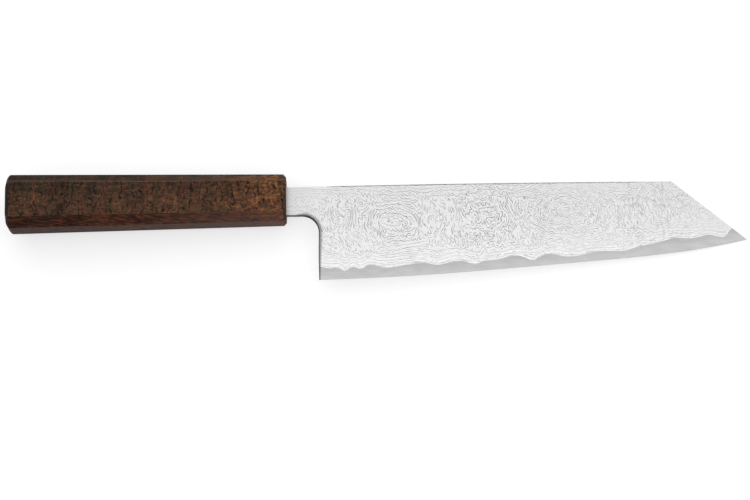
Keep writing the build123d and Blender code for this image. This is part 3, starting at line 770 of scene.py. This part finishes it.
half_outline = node(tree, "GeometryNodeMeshLine", {"Count": len(outline)})
half_outline = node(tree, "GeometryNodeSetPosition", {"Geometry": half_outline, "Position": corner_places})
half_outline = node(tree, "GeometryNodeMeshToCurve", {"Mesh": half_outline})
half_outline = {"Curve": half_outline, "Count": corner_cuts, "Radius": corner_radii}
half_outline = node(tree, "GeometryNodeFilletCurve", half_outline, mode="POLY")
section = {"Width": size_of["Butt Height"], "Height": size_of["Butt Width"]}
section = node(tree, "GeometryNodeCurvePrimitiveQuadrilateral", section)
for cuts, radius in ((1, size_of["Bevel"]), (4, size_of["Edge Easing"])):
    section = {"Curve": section, "Count": cuts, "Radius": radius}
    section = node(tree, "GeometryNodeFilletCurve", section, mode="POLY")
half_outline_size, section_size = (
    node(tree, "GeometryNodeAttributeDomainSize", {"Geometry": curve}, component="CURVE")
    for curve in (half_outline, section)
)
rings = half_outline_size.outputs["Point Count"]
around = section_size.outputs["Point Count"]
columns = node(tree, "FunctionNodeIntegerMath", {0: around, 1: 1}, operation="ADD")
skin = node(tree, "GeometryNodeMeshGrid", {"Vertices X": rings, "Vertices Y": columns})

# Where each corner of the grid goes: which ring it is on, and which point of the section it takes.
ring = node(tree, "FunctionNodeIntegerMath", {0: index, 1: columns}, operation="DIVIDE_FLOOR")
step = node(tree, "FunctionNodeIntegerMath", {0: index, 1: columns}, operation="FLOORED_MODULO")
step = node(tree, "FunctionNodeIntegerMath", {0: step, 1: around}, operation="FLOORED_MODULO")
position = node(tree, "GeometryNodeInputPosition")
ring_point, section_point = (
    node(
        tree,
        "GeometryNodeSampleIndex",
        {"Geometry": curve, "Value": position, "Index": which},
        data_type="FLOAT_VECTOR",
        domain="POINT",
    )
    for curve, which in ((half_outline, ring), (section, step))
)
ring_point = node(tree, "ShaderNodeSeparateXYZ", {"Vector": ring_point})
ring_x = ring_point.outputs["X"]
from_butt = {"Value": ring_x, "From Min": butt_x, "From Max": 0}
flat = node(tree, "ShaderNodeMapRange", {**from_butt, "To Min": half_butt, "To Max": half_front})
ring_height = node(tree, "ShaderNodeMath", {0: ring_point.outputs["Y"], 1: flat}, operation="MINIMUM")
share = node(tree, "ShaderNodeMath", {0: ring_height, 1: half_butt}, operation="DIVIDE")
front_shape, butt_shape = (
    node(tree, "ShaderNodeMath", {0: size_of[width], 1: size_of[height]}, operation="DIVIDE")
    for width, height in (("Front Width", "Front Height"), ("Butt Width", "Butt Height"))
)
front_waist = node(tree, "ShaderNodeMath", {0: front_shape, 1: butt_shape}, operation="DIVIDE")
waist = node(tree, "ShaderNodeMapRange", {**from_butt, "To Min": 1, "To Max": front_waist})
waist = node(tree, "ShaderNodeMath", {0: share, 1: waist}, operation="MULTIPLY")
taper = node(tree, "ShaderNodeCombineXYZ", {"X": share, "Y": waist})
octagon_point = node(tree, "ShaderNodeVectorMath", {0: section_point, 1: taper}, operation="MULTIPLY")
round_point = node(tree, "ShaderNodeVectorMath", {0: section_point}, operation="NORMALIZE")
round_point = node(tree, "ShaderNodeVectorMath", {0: round_point, "Scale": ring_height}, operation="SCALE")
first_bore_ring = node(tree, "FunctionNodeIntegerMath", {0: rings, 1: rings_in_bore}, operation="SUBTRACT")
in_bore = {2: ring, 3: first_bore_ring}
in_bore = node(tree, "FunctionNodeCompare", in_bore, data_type="INT", operation="GREATER_EQUAL")
across = {"Switch": in_bore, "False": octagon_point, "True": round_point}
across = node(tree, "GeometryNodeSwitch", across, input_type="VECTOR")
crown = node(tree, "ShaderNodeVectorMath", {0: across, 1: across}, operation="DOT_PRODUCT")
crown_width = node(tree, "ShaderNodeMath", {0: size_of["Butt Crown Radius"], 1: 2}, operation="MULTIPLY")
crown = node(tree, "ShaderNodeMath", {0: crown, 1: crown_width}, operation="DIVIDE")
rounding_end = node(tree, "ShaderNodeMath", {0: butt_x, 1: size_of["Butt Rounding"]}, operation="ADD")
near_butt = {"Value": ring_x, "From Min": butt_x, "From Max": rounding_end, "To Min": 1, "To Max": 0}
near_butt = node(tree, "ShaderNodeMapRange", near_butt)
along = node(tree, "ShaderNodeMath", {0: crown, 1: near_butt, 2: ring_x}, operation="MULTIPLY_ADD")
across = node(tree, "ShaderNodeSeparateXYZ", {"Vector": across})
skin_point = {"X": along, "Y": across.outputs["X"], "Z": across.outputs["Y"]}
skin_point = node(tree, "ShaderNodeCombineXYZ", skin_point)
skin = node(tree, "GeometryNodeSetPosition", {"Geometry": skin, "Position": skin_point})
skin = node(tree, "GeometryNodeMergeByDistance", {"Geometry": skin, "Distance": merge_distance})
skin = node(tree, "GeometryNodeFlipFaces", {"Mesh": skin})
slot_size = {"X": size_of["Slot Depth"], "Y": size_of["Slot Height"], "Z": size_of["Slot Width"]}
slot = node(tree, "GeometryNodeMeshCube", {"Size": node(tree, "ShaderNodeCombineXYZ", slot_size)})
slot_place = node(tree, "ShaderNodeCombineXYZ", {"X": 0, "Y": size_of["Slot Offset"], "Z": 0})
slot = node(tree, "GeometryNodeTransform", {"Geometry": slot, "Translation": slot_place})
skin = {"Mesh 1": skin, "Mesh 2": slot}
skin = node(tree, "GeometryNodeMeshBoolean", skin, operation="DIFFERENCE", solver="EXACT")
skin = {"Geometry": skin, "Translation": knife_origin, "Rotation": (0, knife_pitch, 0)}
skin = node(tree, "GeometryNodeTransform", skin)
skin = node(tree, "GeometryNodeRealizeInstances", {"Geometry": skin})
skin = node(tree, "GeometryNodeSetMaterial", {"Geometry": skin, "Material": wood_material})
node(tree, "NodeGroupOutput", {"Mesh": skin})

maker = add_object("handle_maker", bpy.data.meshes.new("handle_maker"))
modifier = maker.modifiers.new("octagon", "NODES")
modifier.node_group = tree
for name, value in handle_sizes.items():
    modifier[identifiers[name]] = value
evaluated = maker.evaluated_get(bpy.context.evaluated_depsgraph_get())
handle_mesh = bpy.data.meshes.new_from_object(evaluated)
bpy.data.objects.remove(maker)
handle = add_object("handle_wood", handle_mesh)
# Only the roundings' small faces are shaded smooth, and a corner sharper than the crease angle stays sharp.
crease_angle = math.radians(35)
largest_rounding_face = 0.00005
handle_mesh.set_sharp_from_angle(angle=crease_angle)
for polygon in handle_mesh.polygons:
    polygon.use_smooth = polygon.area < largest_rounding_face
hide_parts("handle_body")
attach(handle, "root")

# Split dowel: the same rosewood turned to a rod and split lengthwise. Its halves are glued into the bore,
# with the tang's slot between them.
for name in ("dowel_half_right", "dowel_half_left"):
    dress(name, wood_material)

# Neck seal: a bead of black sealing compound, pressed in round the neck while soft. It has set as hard as
# wax, and keeps water out of the slot.
# Black sealing compound: nearly black and half glossy, with faint smears where it was wiped.
sealing = clouded("black sealing compound", size=0.66667, tones=("#181513", "#211d1a"), roughness=0.4)
dress("neck_seal", sealing)

# Table: plain white paper, lit evenly, which keeps the knife's soft shadow. It is matt, and its fibres are
# far too fine to show. Its own glow, seen only by the camera and in mirrors, brings it up to white.
table_reach = 3
table_glow = 0.6
table_corners = [(table_reach * x, table_reach * y, 0) for x, y in ((-1, -1), (1, -1), (1, 1), (-1, 1))]
table_mesh = bpy.data.meshes.new("table")
table_mesh.from_pydata(table_corners, [], [(0, 1, 2, 3)])
table = add_object("table", table_mesh)
paper_material, tree, axes = start_material("white paper")
rays = node(tree, "ShaderNodeLightPath").outputs
seen = rays["Is Camera Ray"]
for kind in ("Is Glossy Ray", "Is Transmission Ray"):
    seen = node(tree, "ShaderNodeMath", {0: seen, 1: rays[kind]}, operation="MAXIMUM")
glow = node(tree, "ShaderNodeMath", {0: seen, 1: table_glow}, operation="MULTIPLY")
glow = node(tree, "ShaderNodeEmission", {"Strength": glow})
paper = node(tree, "ShaderNodeBsdfDiffuse", {"Color": linear("#bcbcbc")})
node(tree, "ShaderNodeOutputMaterial", {"Surface": node(tree, "ShaderNodeAddShader", {0: paper, 1: glow})})
table_mesh.materials.append(paper_material)

# Light: a pale room that is brighter overhead and on the spine's side, which gives nearly all the light, and
# one large softbox beyond the spine, which gives the faces a little slope.
room_levels = {"From Max": 0.75, "To Min": 0.3, "To Max": 1.0}
softbox_power = 5
softbox_size = (2.4, 1.4)
softbox_place = (-0.3, 1.6, 1.3)
world = bpy.data.worlds.new("studio")
bpy.context.scene.world = world
world.use_nodes = True
tree = world.node_tree
tree.nodes.clear()
towards = node(tree, "ShaderNodeTexCoord").outputs["Generated"]
towards = node(tree, "ShaderNodeSeparateXYZ", {"Vector": towards})
lean = {0: towards.outputs["Y"], 1: 0.25, 2: towards.outputs["Z"]}
lean = node(tree, "ShaderNodeMath", lean, operation="MULTIPLY_ADD")
level = node(tree, "ShaderNodeMapRange", {"Value": lean, **room_levels}, interpolation_type="SMOOTHSTEP")
sky = node(tree, "ShaderNodeBackground", {"Color": linear("#ffffff"), "Strength": level})
node(tree, "ShaderNodeOutputWorld", {"Surface": sky})
softbox = add_object("softbox", bpy.data.lights.new("softbox", "AREA"))
softbox.data.shape = "RECTANGLE"
softbox.data.size, softbox.data.size_y = softbox_size
softbox.data.energy = softbox_power
softbox.location = softbox_place
softbox.rotation_euler = (-softbox.location).to_track_quat("-Z", "Y").to_euler()
